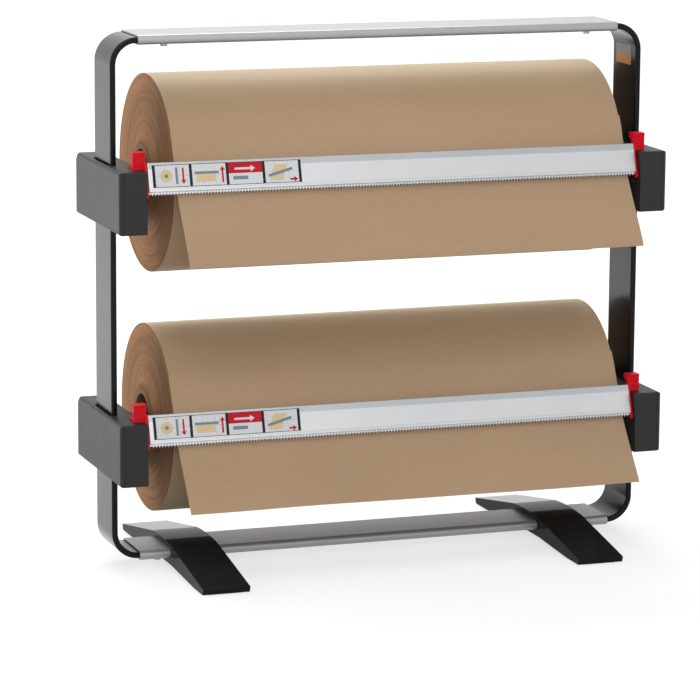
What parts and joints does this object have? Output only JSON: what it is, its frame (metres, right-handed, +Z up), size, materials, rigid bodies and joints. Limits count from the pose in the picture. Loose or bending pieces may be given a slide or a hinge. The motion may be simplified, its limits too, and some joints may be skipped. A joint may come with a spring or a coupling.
{
  "type": "gift wrap dispenser",
  "caption": "Counter-top frame that holds gift wrap rolls one above another, with a toothed tear bar on swinging levers at each roll, on arched feet.",
  "frame": {"origin": "on the counter, in the middle of the dispenser's width and depth", "axes": "+X to the right along the rolls, seen from the front; +Y to the back; +Z up"},
  "size_m": [0.6048, 0.304, 0.564],
  "materials": {
    "side_frames": "black satin powder coat",
    "feet": "black satin",
    "rails": "satin anodised",
    "screws": "zinc plated",
    "pads": "matt",
    "blocks": "fine grained dark grey",
    "levers": "red, semi-gloss",
    "plugs": "black",
    "tear_bars": "satin anodised",
    "blades": "toothed strip",
    "cores": "wound board",
    "paper": "brown kraft with fine ribs"
  },
  "bodies": {
    "frame": {"side_frame_left": "side_frames", "foot_left": "feet", "foot_screw_left": "screws", "foot_pad_left_front": "pads", "top_rail_screw_left_front": "screws", "bottom_rail_screw_left_front": "screws", "foot_pad_left_rear": "pads", "top_rail_screw_left_rear": "screws", "bottom_rail_screw_left_rear": "screws", "side_frame_right": "side_frames", "foot_right": "feet", "foot_screw_right": "screws", "foot_pad_right_front": "pads", "top_rail_screw_right_front": "screws", "bottom_rail_screw_right_front": "screws", "foot_pad_right_rear": "pads", "top_rail_screw_right_rear": "screws", "bottom_rail_screw_right_rear": "screws", "top_rail": "rails", "bottom_rail": "rails", "upper_block_body_left": "blocks", "upper_block_cover_left": "blocks", "upper_block_screw_left_front": "screws", "upper_block_screw_left_rear": "screws", "upper_lever_pin_left": "screws", "upper_block_body_right": "blocks", "upper_block_cover_right": "blocks", "upper_block_screw_right_front": "screws", "upper_block_screw_right_rear": "screws", "upper_lever_pin_right": "screws", "upper_paper_sheet": "paper", "lower_block_body_left": "blocks", "lower_block_cover_left": "blocks", "lower_block_screw_left_front": "screws", "lower_block_screw_left_rear": "screws", "lower_lever_pin_left": "screws", "lower_block_body_right": "blocks", "lower_block_cover_right": "blocks", "lower_block_screw_right_front": "screws", "lower_block_screw_right_rear": "screws", "lower_lever_pin_right": "screws", "lower_paper_sheet": "paper"},
    "upper_roll": {"upper_core_plug_left": "plugs", "upper_core_plug_right": "plugs", "upper_core": "cores", "upper_paper_roll": "paper"},
    "upper_bar": {"upper_lever_left": "levers", "upper_lever_right": "levers", "upper_tear_bar": "tear_bars", "upper_tear_blade": "blades"},
    "lower_roll": {"lower_core_plug_left": "plugs", "lower_core_plug_right": "plugs", "lower_core": "cores", "lower_paper_roll": "paper"},
    "lower_bar": {"lower_lever_left": "levers", "lower_lever_right": "levers", "lower_tear_bar": "tear_bars", "lower_tear_blade": "blades"}
  },
  "joints": [
    {"name": "upper_roll_spin", "type": "hinge", "parent": "frame", "child": "upper_roll", "pos_m": [0, 0.04, 0.412], "axis": [1, 0, 0], "continuous": true},
    {"name": "lower_roll_spin", "type": "hinge", "parent": "frame", "child": "lower_roll", "pos_m": [0, 0.04, 0.15], "axis": [1, 0, 0], "continuous": true},
    {"name": "upper_bar_swing", "type": "hinge", "parent": "frame", "child": "upper_bar", "pos_m": [0, -0.068, 0.426], "axis": [-1, 0, 0], "range_deg": [0, 30]},
    {"name": "lower_bar_swing", "type": "hinge", "parent": "frame", "child": "lower_bar", "pos_m": [0, -0.068, 0.164], "axis": [-1, 0, 0], "range_deg": [0, 30]}
  ]
}
